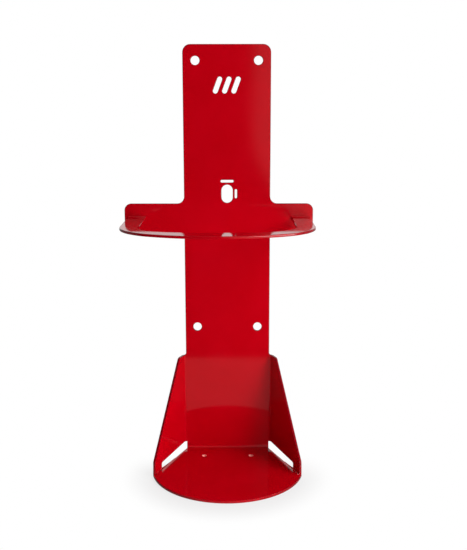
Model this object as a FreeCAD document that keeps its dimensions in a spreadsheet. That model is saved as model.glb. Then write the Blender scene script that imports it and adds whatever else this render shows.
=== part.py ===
"""Wall bracket for a slim fire extinguisher: a folded steel back with a shelf, and a guard ring.

Millimetres. X to the right, the wall behind the bracket on the +Y side, Z up. The origin is the
middle of the four wall holes, on the face that lies against the wall.
"""
import FreeCAD, Part
import math
import os

import Sketcher

SIZES = {
    # the steel sheet and its folds
    "sheet_thickness": 3.0,
    "fold_radius": 3.0,
    # back plate
    "plate_width": 100.0,
    "total_height": 482.5,
    "plate_corner_radius": 9.0,
    "hole_diameter": 10.0,
    "hole_edge": 14.25,
    "hole_margin": 17.9,
    "hole_rows_apart": 309.0,
    # cross bar, a part of the back plate
    "bar_length": 219.5,
    "bar_height": 36.0,
    "bar_drop": 197.25,
    "bar_offset": -9.75,
    "bar_corner_radius": 8.0,
    "bar_underside_radius": 5.0,
    # guard ring, welded to the front of the cross bar
    "ring_inset": 3.75,
    "ring_reach": 145.5,
    "ring_side_band": 21.0,
    "ring_front_band": 25.5,
    "ring_front_radius": 155.0,
    "ring_corner_radius": 64.0,
    "ring_inner_front_radius": 300.0,
    "ring_inner_corner_radius": 42.0,
    "weld_leg": 1.5,
    # gussets, folded forward and outward from the plate's edges
    "splay_angle": 20.3,
    "gusset_length": 83.3,
    "gusset_top_length": 10.6,
    "gusset_height": 117.3,
    "gusset_nose_height": 14.7,
    "gusset_corner_radius": 5.0,
    "gusset_root_radius": 2.5,
    "foot_length": 17.8,
    "slot_height": 7.0,
    "slot_corner_radius": 2.0,
    # shelf, folded forward from the plate's foot
    "shelf_reach": 146.0,
    "shelf_hole_diameter": 5.0,
    "shelf_hole_spacing": 56.0,
    "shelf_hole_reach": 27.0,
    # three slanted slots cut near the top of the plate
    "stripe_drop": 45.0,
    "stripe_pitch": 10.5,
    "stripe_width": 5.5,
    "stripe_rise": 13.2,
    "stripe_lean": 5.0,
    # bottle mark cut above the cross bar
    "bottle_drop": 168.0,
    "bottle_width": 13.0,
    "bottle_straight": 8.0,
    "lever_rise": 14.5,
    "lever_length": 12.0,
    "lever_width": 3.0,
    "hose_reach": 10.2,
    "hose_width": 2.6,
}

# Heights, as expressions on the cells
TOP = "(dims.hole_rows_apart / 2 + dims.hole_margin)"
FLOOR = f"({TOP} - dims.total_height)"
SHELF = f"({FLOOR} + dims.sheet_thickness)"
BAR = f"({TOP} - dims.bar_drop)"
GUSSET_TOP = f"({SHELF} + dims.gusset_height)"

# Depths and widths
HALF_PLATE = "(dims.plate_width / 2)"
OUTER_RADIUS = "(dims.fold_radius + dims.sheet_thickness)"
FOLD_Y = f"(-{OUTER_RADIUS})"
SPLAY = "(dims.splay_angle * 1 deg)"

# Where the right gusset's outer face leaves its fold
GUSSET_X = f"({HALF_PLATE} + {OUTER_RADIUS} * cos({SPLAY}))"
GUSSET_Y = f"({FOLD_Y} + {OUTER_RADIUS} * sin({SPLAY}))"

doc = FreeCAD.newDocument("extinguisher_bracket")
sheet = doc.addObject("Spreadsheet::Sheet", "dims")
for row, (alias, size) in enumerate(SIZES.items(), start=1):
    sheet.set(f"A{row}", alias)
    sheet.set(f"B{row}", str(size))
    sheet.setAlias(f"B{row}", alias)
doc.recompute()


def value(expression):
    """Number that an expression on the cells comes to, with angles in degrees."""
    return FreeCAD.Units.Quantity(sheet.evalExpression(expression)).Value


def point(x, y):
    """Place in a sketch of a pair of expressions."""
    return FreeCAD.Vector(value(x), value(y), 0)


def new_body(name):
    body = doc.addObject("PartDesign::Body", name)
    body.Label = name
    body.Placement = FreeCAD.Placement()
    return body


def new_sketch(body, name, role, offset=None):
    """Empty sketch on one of the body's own planes, moved along its normal by an expression."""
    plane = next(item for item in body.Origin.OriginFeatures if item.Role == role)
    sketch = body.newObject("Sketcher::SketchObject", name)
    sketch.AttachmentSupport = [(plane, "")]
    sketch.MapMode = "FlatFace"
    if offset:
        sketch.setExpression("AttachmentOffset.Base.z", offset)
    return sketch


def constrain(sketch, kind, *places, to):
    """Constraint with a size that follows an expression."""
    size = value(to)
    if kind == "Angle":
        size = math.radians(size)
    index = sketch.addConstraint(Sketcher.Constraint(kind, *places, size))
    sketch.setExpression(f"Constraints[{index}]", to)


def locate(sketch, curve, end, x, y):
    """Holds one point of a curve at a pair of expressions: 1 its start, 2 its end, 3 its centre."""
    constrain(sketch, "DistanceX", -1, 1, curve, end, to=x)
    constrain(sketch, "DistanceY", -1, 1, curve, end, to=y)


def chain(sketch, corners):
    """Straight lines from corner to corner, each corner a pair of expressions."""
    places = [point(x, y) for x, y in corners]
    lines = [sketch.addGeometry(Part.LineSegment(a, b)) for a, b in zip(places, places[1:])]
    for before, after in zip(lines, lines[1:]):
        sketch.addConstraint(Sketcher.Constraint("Coincident", before, 2, after, 1))
    for line, (x, y) in zip(lines, corners):
        locate(sketch, line, 1, x, y)
    locate(sketch, lines[-1], 2, *corners[-1])
    return lines


def outline(sketch, corners):
    """Closed outline of straight lines."""
    places = [point(x, y) for x, y in corners]
    ends = places[1:] + places[:1]
    lines = [sketch.addGeometry(Part.LineSegment(a, b)) for a, b in zip(places, ends)]
    for number, line in enumerate(lines):
        sketch.addConstraint(Sketcher.Constraint("Coincident", lines[number - 1], 2, line, 1))
        locate(sketch, line, 1, *corners[number])


def arc(sketch, centre, radius, first, last):
    """Arc of a circle, with its angles in radians, not yet held by any constraint."""
    circle = Part.Circle(centre, FreeCAD.Vector(0, 0, 1), radius)
    return sketch.addGeometry(Part.ArcOfCircle(circle, first, last))


def close_with_arc(sketch, lines, radius, x, y):
    """Joins a chain's end to its start with an arc that runs anticlockwise about a centre."""
    ends = sketch.Geometry[lines[-1]].EndPoint, sketch.Geometry[lines[0]].StartPoint
    centre = point(x, y)
    angles = [math.atan2(end.y - centre.y, end.x - centre.x) for end in ends]
    curve = arc(sketch, centre, value(radius), *angles)
    sketch.addConstraint(Sketcher.Constraint("Coincident", lines[-1], 2, curve, 1))
    sketch.addConstraint(Sketcher.Constraint("Coincident", curve, 2, lines[0], 1))
    constrain(sketch, "Radius", curve, to=radius)


def fold_section(sketch, x, y, first, last):
    """Sheet turned about a fold's centre, from the first to the last angle, in degrees."""
    centre = point(x, y)
    angles = [math.radians(value(angle)) for angle in (first, last)]
    inner = arc(sketch, centre, value("dims.fold_radius"), *angles)
    outer = arc(sketch, centre, value(OUTER_RADIUS), *angles)
    constrain(sketch, "Radius", inner, to="dims.fold_radius")
    constrain(sketch, "Radius", outer, to=OUTER_RADIUS)
    locate(sketch, inner, 3, x, y)
    sketch.addConstraint(Sketcher.Constraint("Coincident", inner, 3, outer, 3))
    for end, angle in ((1, first), (2, last)):
        edge = Part.LineSegment(sketch.getPoint(inner, end), sketch.getPoint(outer, end))
        line = sketch.addGeometry(edge)
        sketch.addConstraint(Sketcher.Constraint("Coincident", line, 1, inner, end))
        sketch.addConstraint(Sketcher.Constraint("Coincident", line, 2, outer, end))
        sketch.addConstraint(Sketcher.Constraint("PointOnObject", inner, 3, line))
        constrain(sketch, "Angle", line, to=angle)


def slot(sketch, start, end, width):
    """Slot with round ends about two centres, each a pair of expressions."""
    radius = f"({width}) / 2"
    first, last = point(*start), point(*end)
    run = last - first
    turn = math.atan2(run.y, run.x)
    tail = arc(sketch, first, value(radius), turn + math.pi / 2, turn + 3 * math.pi / 2)
    head = arc(sketch, last, value(radius), turn - math.pi / 2, turn + math.pi / 2)
    for one, other in ((tail, head), (head, tail)):
        side = Part.LineSegment(sketch.getPoint(one, 2), sketch.getPoint(other, 1))
        line = sketch.addGeometry(side)
        sketch.addConstraint(Sketcher.Constraint("Tangent", one, 2, line, 1))
        sketch.addConstraint(Sketcher.Constraint("Tangent", line, 2, other, 1))
    constrain(sketch, "Radius", tail, to=radius)
    locate(sketch, tail, 3, *start)
    locate(sketch, head, 3, *end)


def hole(sketch, x, y, diameter):
    circle = Part.Circle(point(x, y), FreeCAD.Vector(0, 0, 1), value(diameter) / 2)
    curve = sketch.addGeometry(circle)
    constrain(sketch, "Diameter", curve, to=diameter)
    locate(sketch, curve, 3, x, y)


def pad(body, name, sketch, length, symmetric=False):
    feature = body.newObject("PartDesign::Pad", name)
    feature.Profile = sketch
    feature.setExpression("Length", length)
    feature.Midplane = symmetric
    doc.recompute()
    return feature


def pocket(body, name, sketch):
    """Cut through the whole body, both ways from the sketch; it must take something away."""
    before = body.Shape.Volume
    feature = body.newObject("PartDesign::Pocket", name)
    feature.Profile = sketch
    feature.Type = "ThroughAll"
    feature.Midplane = True
    doc.recompute()
    if not body.Shape.Volume < before:
        raise RuntimeError(f"{name} cuts nothing")
    return feature


def round_off(body, name, spots, radius):
    """Fillet on the edges whose middles lie at the spots, each a triple of expressions."""
    base = body.Tip
    names = []
    for spot in spots:
        place = FreeCAD.Vector(*(value(coordinate) for coordinate in spot))
        gaps = [(edge.CenterOfMass - place).Length for edge in base.Shape.Edges]
        if min(gaps) > 0.01:
            raise RuntimeError(f"{name} finds no edge at {spot}")
        names.append(f"Edge{gaps.index(min(gaps)) + 1}")
    feature = body.newObject("PartDesign::Fillet", name)
    feature.Base = (base, names)
    feature.setExpression("Radius", radius)
    doc.recompute()
    return feature


def on_gusset(along, inward="0"):
    """Plan place on the right gusset: along its outer face from the fold, and in from that face."""
    x = f"({GUSSET_X} + ({along}) * sin({SPLAY}) - ({inward}) * cos({SPLAY}))"
    y = f"({GUSSET_Y} - ({along}) * cos({SPLAY}) - ({inward}) * sin({SPLAY}))"
    return x, y


def mirrored(corners):
    """The same corners on the left side, in reverse order."""
    return [(f"-{x}", y) for x, y in reversed(corners)]


def build_back_plate(body):
    """Back plate with its cross bar, cut from one sheet; its folds start at its edges."""
    bar_top = f"({BAR} + dims.bar_height / 2)"
    bar_underside = f"({BAR} - dims.bar_height / 2)"
    bar_right = "(dims.bar_offset + dims.bar_length / 2)"
    bar_left = "(dims.bar_offset - dims.bar_length / 2)"
    fold_line = f"({SHELF} + dims.fold_radius)"
    corners = [
        (HALF_PLATE, fold_line),
        (HALF_PLATE, bar_underside),
        (bar_right, bar_underside),
        (bar_right, bar_top),
        (HALF_PLATE, bar_top),
        (HALF_PLATE, TOP),
        (f"-{HALF_PLATE}", TOP),
        (f"-{HALF_PLATE}", bar_top),
        (bar_left, bar_top),
        (bar_left, bar_underside),
        (f"-{HALF_PLATE}", bar_underside),
        (f"-{HALF_PLATE}", fold_line),
    ]
    front_view = new_sketch(body, "plate_outline", "XZ_Plane")
    outline(front_view, corners)
    pad(body, "back_plate", front_view, "dims.sheet_thickness")

    def edges(places):
        return [(x, "-dims.sheet_thickness / 2", z) for x, z in places]

    round_off(body, "plate_corners", edges(corners[5:7]), "dims.plate_corner_radius")
    bar_corners = [corners[2], corners[3], corners[4], corners[7], corners[8], corners[9]]
    round_off(body, "bar_corners", edges(bar_corners), "dims.bar_corner_radius")
    roots = [corners[1], corners[10]]
    round_off(body, "bar_underside_roots", edges(roots), "dims.bar_underside_radius")


def build_shelf(body):
    """Shelf folded forward from the plate's foot, under the gussets' feet, with a round front."""
    side_view = new_sketch(body, "shelf_fold_section", "YZ_Plane")
    fold_section(side_view, FOLD_Y, f"{SHELF} + dims.fold_radius", "270 deg", "360 deg")
    pad(body, "shelf_fold", side_view, "dims.plate_width", symmetric=True)

    right_side = [
        on_gusset("dims.gusset_length"),
        on_gusset("dims.gusset_length - dims.foot_length"),
        on_gusset("dims.gusset_length - dims.foot_length", "dims.sheet_thickness"),
        (HALF_PLATE, FOLD_Y),
    ]
    front_x, front_y = right_side[0]
    bulge = f"(dims.sheet_thickness + dims.shelf_reach + {front_y})"
    front_radius = f"({front_x}^2 + {bulge}^2) / (2 * {bulge})"
    centre_y = f"{front_radius} - dims.sheet_thickness - dims.shelf_reach"
    plan = new_sketch(body, "shelf_outline", "XY_Plane", FLOOR)
    lines = chain(plan, right_side + mirrored(right_side))
    close_with_arc(plan, lines, front_radius, "0", centre_y)
    pad(body, "shelf", plan, "dims.sheet_thickness")


def build_gussets(body):
    """Gusset folded from the right edge of the plate, splayed outward, and its mirror image."""
    plan = new_sketch(body, "gusset_fold_section", "XY_Plane", f"{SHELF} + dims.slot_height")
    fold_section(plan, HALF_PLATE, FOLD_Y, SPLAY, "90 deg")
    fold_height = "dims.gusset_height - dims.slot_height + dims.gusset_root_radius"
    fold = pad(body, "gusset_fold", plan, fold_height)

    front_view = new_sketch(body, "gusset_root_outline", "XZ_Plane")
    root_x = f"({HALF_PLATE} + dims.gusset_root_radius)"
    root_z = f"({GUSSET_TOP} + dims.gusset_root_radius)"
    fold_end = f"({HALF_PLATE} + {OUTER_RADIUS})"
    above = [(root_x, GUSSET_TOP), (fold_end, GUSSET_TOP), (fold_end, root_z), (HALF_PLATE, root_z)]
    close_with_arc(front_view, chain(front_view, above), "dims.gusset_root_radius", root_x, root_z)
    root = pocket(body, "gusset_root", front_view)

    face = new_sketch(body, "gusset_outline", "XZ_Plane")
    turn = FreeCAD.Rotation(FreeCAD.Vector(0, 1, 0), value(f"{SPLAY} - 90 deg"))
    face.AttachmentOffset = FreeCAD.Placement(FreeCAD.Vector(), turn)
    face.setExpression("AttachmentOffset.Base.x", GUSSET_X)
    face.setExpression("AttachmentOffset.Base.z", f"-{GUSSET_Y}")
    face.setExpression("AttachmentOffset.Rotation.Angle", f"{SPLAY} - 90 deg")
    foot_start = "dims.gusset_length - dims.foot_length"
    slot_top = f"{SHELF} + dims.slot_height"
    corners = [
        ("0", slot_top),
        (foot_start, slot_top),
        (foot_start, SHELF),
        ("dims.gusset_length", SHELF),
        ("dims.gusset_length", f"{SHELF} + dims.gusset_nose_height"),
        ("dims.gusset_top_length", GUSSET_TOP),
        ("0", GUSSET_TOP),
    ]
    outline(face, corners)
    flange = pad(body, "gusset", face, "dims.sheet_thickness")

    pair = body.newObject("PartDesign::Mirrored", "gusset_pair")
    pair.Originals = [fold, root, flange]
    middle = next(item for item in body.Origin.OriginFeatures if item.Role == "YZ_Plane")
    pair.MirrorPlane = (middle, [""])
    body.Tip = pair
    doc.recompute()

    def edges(places):
        spots = []
        for along, z in places:
            x, y = on_gusset(along, "dims.sheet_thickness / 2")
            spots += [(x, y, z), (f"-{x}", y, z)]
        return spots

    round_off(body, "gusset_corners", edges(corners[4:6]), "dims.gusset_corner_radius")
    round_off(body, "slot_corners", edges(corners[1:2]), "dims.slot_corner_radius")
    x, y = on_gusset("dims.gusset_length - dims.foot_length / 2", "dims.sheet_thickness")
    round_off(body, "foot_welds", [(x, y, SHELF), (f"-{x}", y, SHELF)], "dims.weld_leg")


def cut_plate_openings(body):
    """Wall holes, slanted slots near the top and a bottle mark above the cross bar."""
    wall_holes = new_sketch(body, "wall_hole_plan", "XZ_Plane")
    hole_x = f"({HALF_PLATE} - dims.hole_edge)"
    hole_z = "(dims.hole_rows_apart / 2)"
    for x in (f"-{hole_x}", hole_x):
        for z in (f"-{hole_z}", hole_z):
            hole(wall_holes, x, z, "dims.hole_diameter")
    pocket(body, "wall_holes", wall_holes)

    stripes = new_sketch(body, "stripe_plan", "XZ_Plane")
    middle = f"({TOP} - dims.stripe_drop)"
    for place in (-1, 0, 1):
        x = f"{place} * dims.stripe_pitch"
        foot = (f"{x} - dims.stripe_lean / 2", f"{middle} - dims.stripe_rise / 2")
        head = (f"{x} + dims.stripe_lean / 2", f"{middle} + dims.stripe_rise / 2")
        slot(stripes, foot, head, "dims.stripe_width")
    pocket(body, "stripes", stripes)

    bottle = new_sketch(body, "bottle_plan", "XZ_Plane")
    middle = f"({TOP} - dims.bottle_drop)"
    base = f"({middle} - dims.bottle_straight / 2)"
    shoulder = f"({middle} + dims.bottle_straight / 2)"
    lever = f"({middle} + dims.lever_rise)"
    slot(bottle, ("0", base), ("0", shoulder), "dims.bottle_width")
    slot(bottle, ("-dims.lever_length / 2", lever), ("dims.lever_length / 2", lever), "dims.lever_width")
    slot(bottle, ("dims.hose_reach", base), ("dims.hose_reach", shoulder), "dims.hose_width")
    pocket(body, "bottle_mark", bottle)


def drill_shelf(body):
    plan = new_sketch(body, "shelf_hole_plan", "XY_Plane", FLOOR)
    reach = "-dims.sheet_thickness - dims.shelf_hole_reach"
    for x in ("-dims.shelf_hole_spacing / 2", "dims.shelf_hole_spacing / 2"):
        hole(plan, x, reach, "dims.shelf_hole_diameter")
    pocket(body, "shelf_holes", plan)


def bracket_body():
    """Everything folded from one sheet; the gussets' feet are welded to the shelf."""
    body = new_body("bracket_body")
    build_back_plate(body)
    build_shelf(body)
    build_gussets(body)
    cut_plate_openings(body)
    drill_shelf(body)
    return body


def arch(body, name, half_width, reach, radius):
    """Plan of a flat arch: square against the bar, straight sides and a round front."""
    plan = new_sketch(body, name, "XY_Plane", f"{BAR} - dims.sheet_thickness / 2")
    middle = "dims.bar_offset"
    corner_y = f"({radius} - sqrt({radius}^2 - {half_width}^2) - dims.sheet_thickness - {reach})"
    corners = [
        (f"{middle} + {half_width}", corner_y),
        (f"{middle} + {half_width}", "-dims.sheet_thickness"),
        (f"{middle} - {half_width}", "-dims.sheet_thickness"),
        (f"{middle} - {half_width}", corner_y),
    ]
    lines = chain(plan, corners)
    close_with_arc(plan, lines, radius, middle, f"{radius} - dims.sheet_thickness - {reach}")
    spots = [(corners[0][0], corner_y, BAR), (corners[3][0], corner_y, BAR)]
    return plan, spots


def guard_ring():
    """Flat arch that stands out from the cross bar at mid-height, with a weld where it meets it."""
    body = new_body("guard_ring")
    outer_half = "(dims.bar_length / 2 - dims.ring_inset)"
    plan, corners = arch(body, "ring_plan", outer_half, "dims.ring_reach", "dims.ring_front_radius")
    pad(body, "ring_blank", plan, "dims.sheet_thickness")
    round_off(body, "ring_corners", corners, "dims.ring_corner_radius")

    section = new_sketch(body, "weld_section", "YZ_Plane", "dims.bar_offset")
    for side in ("+", "-"):
        face = f"{BAR} {side} dims.sheet_thickness / 2"
        toe = f"{BAR} {side} (dims.sheet_thickness / 2 + dims.weld_leg)"
        corners = [
            ("-dims.sheet_thickness", face),
            ("-dims.sheet_thickness", toe),
            ("-dims.sheet_thickness - dims.weld_leg", face),
        ]
        outline(section, corners)
    pad(body, "welds", section, f"2 * {outer_half}", symmetric=True)

    inner_half = f"({outer_half} - dims.ring_side_band)"
    inner_reach = "(dims.ring_reach - dims.ring_front_band)"
    radius = "dims.ring_inner_front_radius"
    plan, corners = arch(body, "opening_plan", inner_half, inner_reach, radius)
    pocket(body, "opening", plan)
    round_off(body, "opening_corners", corners, "dims.ring_inner_corner_radius")
    return body


def check(bodies):
    """Stops unless every object is sound and every body is one valid solid."""
    for item in doc.Objects:
        if "Invalid" in item.State or "Error" in item.State:
            raise RuntimeError(f"{item.Label} failed: {item.State}")
    for body in bodies:
        shape = body.Shape
        if shape.isNull() or not shape.isValid() or len(shape.Solids) != 1:
            raise RuntimeError(f"{body.Label} is not one valid solid")


bodies = [bracket_body(), guard_ring()]
doc.recompute()
check(bodies)
os.makedirs("parts", exist_ok=True)
for body in bodies:
    body.Shape.exportStep(f"parts/{body.Label}.step")
    print(body.Label, round(body.Shape.Volume), "mm3", body.Shape.BoundBox)
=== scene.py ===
"""Looks of a folded steel extinguisher bracket: red powder coat, eased edges, soft studio light.

Metres, in the bracket's own frame: X to the right, the wall side on +Y, Z up.
"""

import math

import bmesh
import bpy
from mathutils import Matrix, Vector
from mathutils.bvhtree import BVHTree


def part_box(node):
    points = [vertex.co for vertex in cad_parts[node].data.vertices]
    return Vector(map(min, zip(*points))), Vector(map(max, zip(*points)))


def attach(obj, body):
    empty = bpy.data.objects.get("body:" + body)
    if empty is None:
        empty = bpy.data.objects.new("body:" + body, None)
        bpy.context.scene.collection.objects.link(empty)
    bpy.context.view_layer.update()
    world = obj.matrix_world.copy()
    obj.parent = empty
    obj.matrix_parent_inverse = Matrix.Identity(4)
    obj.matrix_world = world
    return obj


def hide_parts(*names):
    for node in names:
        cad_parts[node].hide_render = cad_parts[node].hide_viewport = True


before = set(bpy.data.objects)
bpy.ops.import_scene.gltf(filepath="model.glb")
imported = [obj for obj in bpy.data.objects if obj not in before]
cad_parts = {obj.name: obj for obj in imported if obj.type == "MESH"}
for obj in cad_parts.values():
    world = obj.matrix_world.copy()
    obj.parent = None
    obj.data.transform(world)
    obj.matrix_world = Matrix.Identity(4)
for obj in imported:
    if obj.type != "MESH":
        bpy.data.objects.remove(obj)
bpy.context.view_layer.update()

MM = 0.001

# The bracket's own sizes, read from the frame
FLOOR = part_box("bracket_body")[0].z
RING_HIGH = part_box("guard_ring")[1]
SHEET = 3 * MM
SHELF = FLOOR + SHEET
PLATE_FRONT = RING_HIGH.y
EDGE_RADIUS = 0.7 * MM
DRAIN_HOLES = [Vector((x * MM, -30 * MM, SHELF - SHEET / 2)) for x in (-28, 28)]
DRAIN_REACH = 4 * MM
SHELF_MIDDLE = (0.0, -72 * MM, FLOOR)
SHELF_HALF_WIDTH = 80 * MM

# What a face of the sheet is
WIDE, WELD, CUT, ROUNDED = range(4)

# Limits that tell the mesh's faces and edges apart
SAME_PLACE = 0.002 * MM
SAME_PLANE = math.radians(0.2)
SQUARE = (math.radians(75), math.radians(105))
FOLDED_BACK = math.radians(60)
SHADING_BREAK = math.radians(50)

# Painted light: how much of its painted shade a level sheet's edge loses when it faces the front
# lamps, and how fast that falls off as the edge turns away
FRONT_LIGHT_LIFT = 0.75
FRONT_LIGHT_FALLOFF = 3

# Camera: place, tilt below the level and field of view, fitted to the photograph's outlines
CAMERA_PLACE = Vector((7.3 * MM, PLATE_FRONT - 973 * MM, SHELF + 410 * MM))
CAMERA_TILT = 11.30
CAMERA_ROLL = -0.078
SENSOR = 36.0
FOCAL_PIXELS = 840
FRAME_HEIGHT = 550

# Settings that many nodes share
SMOOTH = {"interpolation_type": "SMOOTHSTEP"}
TIMES = {"operation": "MULTIPLY"}
LARGER = {"operation": "MAXIMUM"}
NUMBER = {"data_type": "FLOAT"}
COLOUR = {"data_type": "RGBA"}

# Light that the studio's walls throw on the coat from all sides
ROOM_LIGHT = 0.2

# What the gloss of the coat sees of the studio: each panel's light, and where it begins and ends
# along the directions X (right), Y (to the wall) and Z (up), as pairs of limits for a soft edge
BESIDE_CAMERA = {"Y": (None, (-0.97, -0.93)), "Z": ((0.13, 0.136), (0.15, 0.165))}
PANELS = {
    "white_wall_behind": (0.9, {"Y": ((0.7, 0.9), None), "Z": (None, (0.42, 0.55))}),
    "ceiling": (0.3, {"Z": ((0.72, 0.86), None)}),
    "panel_left_of_camera": (0.75, {"X": ((-0.3, -0.2), (-0.075, -0.055)), **BESIDE_CAMERA}),
    "panel_right_of_camera": (3.6, {"X": ((0.045, 0.065), (0.2, 0.3)), **BESIDE_CAMERA}),
}

# Lamps: azimuth and elevation seen from the target, in degrees; distance, width and height in
# metres; watts; target; and whether the gloss shows the lamp
MIDDLE = Vector((0.0, -0.05, -0.08))
LOW = Vector((0.0, -0.06, -0.22))
LAMPS = {
    "key_softbox": (45, 17, 1.6, 0.45, 0.45, 6.5, MIDDLE, False),
    "far_softbox": (60, 30, 1.6, 0.6, 0.6, 5.8, MIDDLE, False),
    "front_softbox": (30, 30, 1.6, 0.9, 0.9, 2.0, MIDDLE, False),
    "high_softbox": (75, 45, 1.6, 0.45, 0.45, 4.3, MIDDLE, False),
    "side_softbox": (90, 30, 1.6, 0.9, 0.9, 4.8, MIDDLE, True),
    "low_window": (38, -2, 0.5, 0.25, 0.15, 0.28, LOW, True),
    "low_softbox": (34, 6, 0.5, 0.25, 0.3, 0.8, LOW, False),
    "back_softbox": (190, 35, 1.8, 1.2, 1.2, 7.0, MIDDLE, False),
}


def linear(code):
    """Linear colour of an sRGB hex code."""
    parts = [int(code[i:i + 2], 16) / 255 for i in (1, 3, 5)]
    return [c / 12.92 if c <= 0.04045 else ((c + 0.055) / 1.055) ** 2.4 for c in parts] + [1.0]


def add(tree, kind, settings=None, sockets=None):
    """Adds a node with its settings; each socket, by name or number, gets its link or value."""
    node = tree.nodes.new(kind)
    for name, setting in (settings or {}).items():
        setattr(node, name, setting)
    for name, given in (sockets or {}).items():
        if isinstance(given, bpy.types.NodeSocket):
            tree.links.new(given, node.inputs[name])
        else:
            node.inputs[name].default_value = given
    return node.outputs


def new_material(name):
    """An empty material and its node tree."""
    material = bpy.data.materials.new(name)
    material.use_nodes = True
    material.node_tree.nodes.clear()
    return material, material.node_tree


def glossy_powder_coat():
    """Polyester powder coat on steel, sprayed dry and baked to a high gloss.

    The melt levels to a deep even red with a faint orange peel. Its laser-cut edges are painted a
    darker red, painted shade that reads as a dark line round the sheet. The front edges of the shelf
    and the ring, which face the front lamps, keep most of the full red: painted light. The small
    drain holes' walls are painted pale pink, a painted highlight.
    """
    material, tree = new_material("red_polyester_powder_coat")
    place = add(tree, "ShaderNodeTexCoord")["Object"]
    peel_width = 2.2 * MM
    peel_depth = 0.0015 * MM
    cloud_width = 45 * MM
    peel = add(
        tree,
        "ShaderNodeTexNoise",
        sockets={"Vector": place, "Scale": 1 / peel_width, "Detail": 2.0, "Roughness": 0.45},
    )
    cloud = add(
        tree,
        "ShaderNodeTexNoise",
        sockets={"Vector": place, "Scale": 1 / cloud_width, "Detail": 3.0},
    )
    cloud_span = {"Value": cloud["Fac"], "From Min": 0.3, "From Max": 0.7}
    shade = add(tree, "ShaderNodeMapRange", SMOOTH, cloud_span)
    face = add(
        tree,
        "ShaderNodeMix",
        COLOUR,
        {"Factor": shade["Result"], "A": linear("#B8000F"), "B": linear("#BD0012")},
    )
    # Painted shade: the cut edges are drawn a darker red
    painted_edge_shade = add(tree, "ShaderNodeAttribute", {"attribute_name": "painted_edge_shade"})
    edge_shaded_tone = add(
        tree,
        "ShaderNodeMix",
        COLOUR,
        {"Factor": painted_edge_shade["Fac"], "A": face["Result"], "B": linear("#80000D")},
    )
    # Painted highlight: the drain holes' walls are drawn pale pink
    painted_drain_highlight = add(tree, "ShaderNodeAttribute", {"attribute_name": "painted_drain_highlight"})
    tone = add(
        tree,
        "ShaderNodeMix",
        COLOUR,
        {"Factor": painted_drain_highlight["Fac"], "A": edge_shaded_tone["Result"], "B": linear("#FF9A92")},
    )
    relief = add(
        tree,
        "ShaderNodeBump",
        sockets={"Strength": 1.0, "Distance": peel_depth, "Height": peel["Fac"]},
    )
    gloss = add(tree, "ShaderNodeMapRange", SMOOTH, {**cloud_span, "To Min": 0.05, "To Max": 0.07})
    coat = add(
        tree,
        "ShaderNodeBsdfPrincipled",
        sockets={
            "Base Color": tone["Result"],
            "Roughness": gloss["Result"],
            "IOR": 1.5,
            "Normal": relief["Normal"],
        },
    )
    add(tree, "ShaderNodeOutputMaterial", sockets={"Surface": coat["BSDF"]})
    return material


def wide_faces(work):
    """Numbers of the faces with the sheet's other wide side one thickness behind them."""
    for table in (work.verts, work.edges, work.faces):
        table.index_update()
    work.normal_update()
    tree = BVHTree.FromBMesh(work)
    largest = {}
    for corners in work.calc_loop_triangles():
        a, b, c = (corner.vert.co for corner in corners)
        area = (b - a).cross(c - a).length
        face = corners[0].face
        if area > largest.get(face.index, (0.0,))[0]:
            largest[face.index] = (area, (a + b + c) / 3, face.normal)
    skin = 0.05 * MM
    slack = 0.03 * SHEET
    opposite = -0.97
    wide = set()
    for number, (area, middle, normal) in largest.items():
        place, facing, _, depth = tree.ray_cast(middle - normal * skin, -normal, 2 * SHEET)
        if place and abs(depth + skin - SHEET) < slack and facing.dot(normal) < opposite:
            wide.add(number)
    return wide


def mark_faces(work, layer):
    """Writes into the layer what each face is: a wide side, a cut through it, or a weld bead."""
    wide = wide_faces(work)
    for face in work.faces:
        face[layer] = WIDE if face.index in wide else WELD
    for edge in work.edges:
        sides = sorted(edge.link_faces, key=lambda face: face.index in wide)
        if len(sides) == 2 and sides[0].index not in wide and sides[1].index in wide:
            if edge.is_convex and SQUARE[0] < edge.calc_face_angle(0.0) < SQUARE[1]:
                sides[0][layer] = CUT


def round_cuts(work, layer):
    """Rounds the edges between the wide sides and the cuts, as the coat flows over them."""
    cut_lines = [
        edge
        for edge in work.edges
        if edge.is_convex
        and edge.calc_face_angle(0.0) > FOLDED_BACK
        and sorted(face[layer] for face in edge.link_faces) == [WIDE, CUT]
    ]
    rounded = bmesh.ops.bevel(
        work,
        geom=cut_lines,
        affect="EDGES",
        offset=EDGE_RADIUS,
        segments=3,
        profile=0.5,
        clamp_overlap=False,
    )
    for face in rounded["faces"]:
        face[layer] = ROUNDED


def painted_edge_light(work, layer, level_top):
    """For each point, its share of painted shade as a cut edge, and its share of painted highlight
    as part of a drain hole's wall.

    The front edges of the level sheets, the shelf and the ring, which end below level_top, face
    the front lamps and lose most of the painted shade: painted light.
    """
    edge_shade_share = []
    drain_highlight_share = []
    for vert in work.verts:
        kinds = {face[layer] for face in vert.link_faces}
        on_cut = bool(kinds) and not kinds & {WIDE, WELD}
        in_drain = any((vert.co - centre).length < DRAIN_REACH for centre in DRAIN_HOLES)
        outward = Vector((vert.normal.x, vert.normal.y))
        level_edge = vert.co.z < level_top and outward.length > 0.1
        # Painted light: edges that face the front lamps lose most of their painted shade
        facing_front = max(0.0, -outward.y / outward.length) if level_edge else 0.0
        # Painted shade on the bare cut edges
        edge_shade_share.append((1.0 - FRONT_LIGHT_LIFT * facing_front ** FRONT_LIGHT_FALLOFF) * float(on_cut and not in_drain))
        # Painted highlight in the drain holes' walls
        drain_highlight_share.append(float(on_cut and in_drain))
    return edge_shade_share, drain_highlight_share


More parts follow.
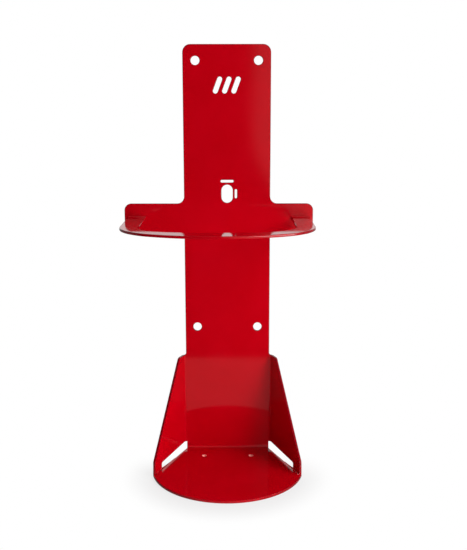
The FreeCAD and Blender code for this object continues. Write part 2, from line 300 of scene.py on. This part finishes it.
def eased_copy(node_name, name, material, level_top):
    """Stands for a CAD node: the same sheet, with the edges of its cuts rounded."""
    work = bmesh.new()
    work.from_mesh(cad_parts[node_name].data)
    bmesh.ops.remove_doubles(work, verts=work.verts, dist=SAME_PLACE)
    bmesh.ops.dissolve_limit(work, angle_limit=SAME_PLANE, verts=work.verts, edges=work.edges)
    side = work.faces.layers.int.new("side")
    mark_faces(work, side)
    round_cuts(work, side)
    low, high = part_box(node_name)
    for vert in work.verts:
        vert.co = [min(max(here, least), most) for here, least, most in zip(vert.co, low, high)]
    edge_shade_share, drain_highlight_share = painted_edge_light(work, side, level_top)
    for face in work.faces:
        face.smooth = True
    work.faces.layers.int.remove(side)
    mesh = bpy.data.meshes.new(name)
    work.to_mesh(mesh)
    work.free()
    mesh.set_sharp_from_angle(angle=SHADING_BREAK)
    mesh.attributes.new("painted_edge_shade", "FLOAT", "POINT").data.foreach_set("value", edge_shade_share)
    mesh.attributes.new("painted_drain_highlight", "FLOAT", "POINT").data.foreach_set("value", drain_highlight_share)
    mesh.materials.append(material)
    piece = bpy.data.objects.new(name, mesh)
    bpy.context.scene.collection.objects.link(piece)
    flat = piece.modifiers.new("flat_faces", "WEIGHTED_NORMAL")
    flat.keep_sharp = True
    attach(piece, "root")
    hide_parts(node_name)


def mirrored_floor(tree, place):
    """Light of the floor in the coat's gloss: the paper's near end, and lit floor beyond."""
    axis = add(tree, "ShaderNodeSeparateXYZ", sockets={"Vector": place})
    # The paper ends a forearm's length before the plate, with the dark room beyond
    paper_end = add(
        tree,
        "ShaderNodeMapRange",
        SMOOTH,
        {
            "Value": axis["Y"],
            "From Min": PLATE_FRONT - 400 * MM,
            "From Max": PLATE_FRONT - 370 * MM,
            "To Min": 0.0,
            "To Max": 0.27,
        },
    )["Result"]
    # To the right, past the lamps, a strip of lit floor
    strip_side = add(
        tree,
        "ShaderNodeMapRange",
        SMOOTH,
        {
            "Value": axis["X"],
            "From Min": 200 * MM,
            "From Max": 250 * MM,
            "To Min": 0.0,
            "To Max": 0.34,
        },
    )["Result"]
    strip_start = add(
        tree,
        "ShaderNodeMapRange",
        SMOOTH,
        {
            "Value": axis["Y"],
            "From Min": -1100 * MM,
            "From Max": -900 * MM,
            "To Min": 1.0,
            "To Max": 0.0,
        },
    )["Result"]
    strip = add(tree, "ShaderNodeMath", TIMES, {0: strip_side, 1: strip_start})["Value"]
    # Further right the key lamp's own glare on that floor, which the ring's front edge catches
    glare_start = add(
        tree,
        "ShaderNodeMapRange",
        SMOOTH,
        {
            "Value": axis["X"],
            "From Min": 1000 * MM,
            "From Max": 1500 * MM,
            "To Min": 0.0,
            "To Max": 5.0,
        },
    )["Result"]
    glare_end = add(
        tree,
        "ShaderNodeMapRange",
        SMOOTH,
        {
            "Value": axis["Y"],
            "From Min": -600 * MM,
            "From Max": -400 * MM,
            "To Min": 1.0,
            "To Max": 0.0,
        },
    )["Result"]
    glare = add(tree, "ShaderNodeMath", TIMES, {0: glare_start, 1: glare_end})["Value"]
    lit = add(tree, "ShaderNodeMath", LARGER, {0: strip, 1: glare})["Value"]
    return add(tree, "ShaderNodeMath", LARGER, {0: paper_end, 1: lit})["Value"]


def floor_material():
    """Matt white paper under the bracket, fading into the white round it, with its real shadow and a
    painted shadow close to the shelf.
    """
    material, tree = new_material("matt_white_paper")
    place = add(tree, "ShaderNodeTexCoord")["Object"]
    depth = add(tree, "ShaderNodeSeparateXYZ", sockets={"Vector": place})["Y"]
    ray = add(tree, "ShaderNodeLightPath")
    # Real fibres are far under a millimetre; they are drawn as coarse as the render needs
    fibre_width = 6 * MM
    fibre = add(
        tree,
        "ShaderNodeTexNoise",
        sockets={"Vector": place, "Scale": 1 / fibre_width, "Detail": 2.0},
    )
    tone = add(
        tree,
        "ShaderNodeMix",
        COLOUR,
        {"Factor": fibre["Fac"], "A": linear("#F1F1F1"), "B": linear("#F5F5F5")},
    )
    paper = add(tree, "ShaderNodeBsdfDiffuse", sockets={"Color": tone["Result"]})
    # Distance from the shelf's middle, in half widths of the shelf
    reach = add(
        tree, "ShaderNodeVectorMath", {"operation": "DISTANCE"}, {0: place, 1: SHELF_MIDDLE}
    )
    away = add(
        tree, "ShaderNodeMath", {"operation": "DIVIDE"}, {0: reach["Value"], 1: SHELF_HALF_WIDTH}
    )["Value"]
    # Beside and behind the shelf's nose the paper turns as white as the rest
    behind = add(
        tree,
        "ShaderNodeMapRange",
        SMOOTH,
        {"Value": depth, "From Min": -100 * MM, "From Max": -10 * MM},
    )["Result"]
    # Painted shadow: the white that the camera sees is greyer close to the shelf
    painted_shadow_rim = add(
        tree,
        "ShaderNodeMapRange",
        SMOOTH,
        {"Value": away, "From Min": 0.95, "From Max": 1.55, "To Min": 0.87, "To Max": 1.0},
    )["Result"]
    brightness = add(
        tree, "ShaderNodeMix", NUMBER, {"Factor": behind, "A": painted_shadow_rim, "B": 1.0}
    )["Result"]
    white = add(
        tree, "ShaderNodeEmission", sockets={"Color": linear("#FFFFFF"), "Strength": brightness}
    )
    # Close to the shelf a share of lit paper shows through it, with the shadow
    clear = add(
        tree,
        "ShaderNodeMapRange",
        SMOOTH,
        {"Value": away, "From Min": 1.0, "From Max": 1.6, "To Min": 0.85, "To Max": 1.0},
    )["Result"]
    share = add(
        tree, "ShaderNodeMix", NUMBER, {"Factor": behind, "A": clear, "B": 1.0}
    )["Result"]
    seen = add(
        tree, "ShaderNodeMath", TIMES, {0: share, 1: ray["Is Camera Ray"]}
    )["Value"]
    near = add(
        tree, "ShaderNodeMixShader", sockets={0: seen, 1: paper["BSDF"], 2: white["Emission"]}
    )
    sheen = add(
        tree,
        "ShaderNodeEmission",
        sockets={"Color": linear("#FFFFFF"), "Strength": mirrored_floor(tree, place)},
    )
    surface = add(
        tree,
        "ShaderNodeMixShader",
        sockets={0: ray["Is Glossy Ray"], 1: near["Shader"], 2: sheen["Emission"]},
    )
    add(tree, "ShaderNodeOutputMaterial", sockets={"Surface": surface["Shader"]})
    return material


def add_floor():
    """The floor under the bracket, larger than the picture."""
    half = 4.0
    mesh = bpy.data.meshes.new("floor")
    corners = [(-half, -half), (half, -half), (half, half), (-half, half)]
    mesh.from_pydata([(x, y, FLOOR) for x, y in corners], [], [(0, 1, 2, 3)])
    mesh.materials.append(floor_material())
    floor = bpy.data.objects.new("floor", mesh)
    bpy.context.scene.collection.objects.link(floor)


def dim_screen(tree, axis):
    """Light of a dim screen to the right of the camera, with a slanted lower edge."""
    left = add(
        tree,
        "ShaderNodeMapRange",
        SMOOTH,
        {"Value": axis["X"], "From Min": 0.015, "From Max": 0.035},
    )
    right = add(
        tree,
        "ShaderNodeMapRange",
        SMOOTH,
        {"Value": axis["X"], "From Min": 0.35, "From Max": 0.5, "To Min": 0.33, "To Max": 0.0},
    )
    slope = 1.9
    slant = add(
        tree, "ShaderNodeMath", {"operation": "MULTIPLY_ADD"}, {0: axis["X"], 1: slope, 2: axis["Z"]}
    )
    foot = add(
        tree,
        "ShaderNodeMapRange",
        SMOOTH,
        {"Value": slant["Value"], "From Min": -0.02, "From Max": 0.02},
    )
    width = add(tree, "ShaderNodeMath", TIMES, {0: left["Result"], 1: right["Result"]})
    return add(tree, "ShaderNodeMath", TIMES, {0: width["Value"], 1: foot["Result"]})["Value"]


def panel_light(tree, axis, light, limits):
    """A panel's light by direction: each pair of limits fades it in at its start, out at its end."""
    for name, ends in limits.items():
        for pair, low, high in zip(ends, (0.0, 1.0), (1.0, 0.0)):
            if pair:
                span = {"From Min": pair[0], "From Max": pair[1], "To Min": low, "To Max": high}
                edge = add(tree, "ShaderNodeMapRange", SMOOTH, {"Value": axis[name], **span})
                sockets = {0: edge["Result"], 1: light}
                light = add(tree, "ShaderNodeMath", TIMES, sockets)["Value"]
    return light


def add_world():
    """White studio to the camera; gloss sees its wall, ceiling, panels and a dark room."""
    world = bpy.data.worlds.new("studio")
    bpy.context.scene.world = world
    world.use_nodes = True
    tree = world.node_tree
    tree.nodes.clear()
    ray = add(tree, "ShaderNodeLightPath")
    way = add(tree, "ShaderNodeTexCoord")["Generated"]
    axis = add(tree, "ShaderNodeSeparateXYZ", sockets={"Vector": way})
    bright = dim_screen(tree, axis)
    for light, limits in PANELS.values():
        panel = panel_light(tree, axis, light, limits)
        bright = add(tree, "ShaderNodeMath", LARGER, {0: bright, 1: panel})["Value"]
    gloss = add(
        tree,
        "ShaderNodeMix",
        NUMBER,
        {"Factor": ray["Is Glossy Ray"], "A": ROOM_LIGHT, "B": bright},
    )["Result"]
    seen = add(
        tree,
        "ShaderNodeMix",
        NUMBER,
        {"Factor": ray["Is Camera Ray"], "A": gloss, "B": 1.0},
    )["Result"]
    sky = add(tree, "ShaderNodeBackground", sockets={"Color": linear("#FFFFFF"), "Strength": seen})
    add(tree, "ShaderNodeOutputWorld", sockets={"Surface": sky["Background"]})


def add_softbox(name, azimuth, elevation, distance, width, height, watts, target, in_gloss):
    """Area light that faces a point, placed by angles round it: azimuth 0 is the camera's side."""
    light = bpy.data.lights.new(name, "AREA")
    light.shape = "RECTANGLE"
    light.size = width
    light.size_y = height
    light.energy = watts
    lamp = bpy.data.objects.new(name, light)
    bpy.context.scene.collection.objects.link(lamp)
    a, e = math.radians(azimuth), math.radians(elevation)
    way = Vector((math.sin(a) * math.cos(e), -math.cos(a) * math.cos(e), math.sin(e)))
    lamp.location = target + way * distance
    lamp.rotation_mode = "QUATERNION"
    lamp.rotation_quaternion = way.to_track_quat("Z", "Y")
    lamp.visible_camera = False
    lamp.visible_glossy = in_gloss


def add_camera():
    """The photograph's camera."""
    data = bpy.data.cameras.new("camera")
    data.sensor_width = SENSOR
    data.lens = SENSOR * FOCAL_PIXELS / FRAME_HEIGHT
    data.clip_start = 0.01
    camera = bpy.data.objects.new("camera", data)
    bpy.context.scene.collection.objects.link(camera)
    camera.location = CAMERA_PLACE
    camera.rotation_mode = "ZYX"
    camera.rotation_euler = (math.radians(90 - CAMERA_TILT), 0.0, math.radians(CAMERA_ROLL))
    bpy.context.scene.camera = camera


coat = glossy_powder_coat()
eased_copy("bracket_body", "folded_sheet", coat, SHELF + 0.1 * MM)
eased_copy("guard_ring", "ring_plate", coat, RING_HIGH.z + SHEET)
add_floor()
add_world()
for lamp_name, lamp_values in LAMPS.items():
    add_softbox(lamp_name, *lamp_values)
add_camera()
bpy.context.scene.view_settings.view_transform = "Standard"
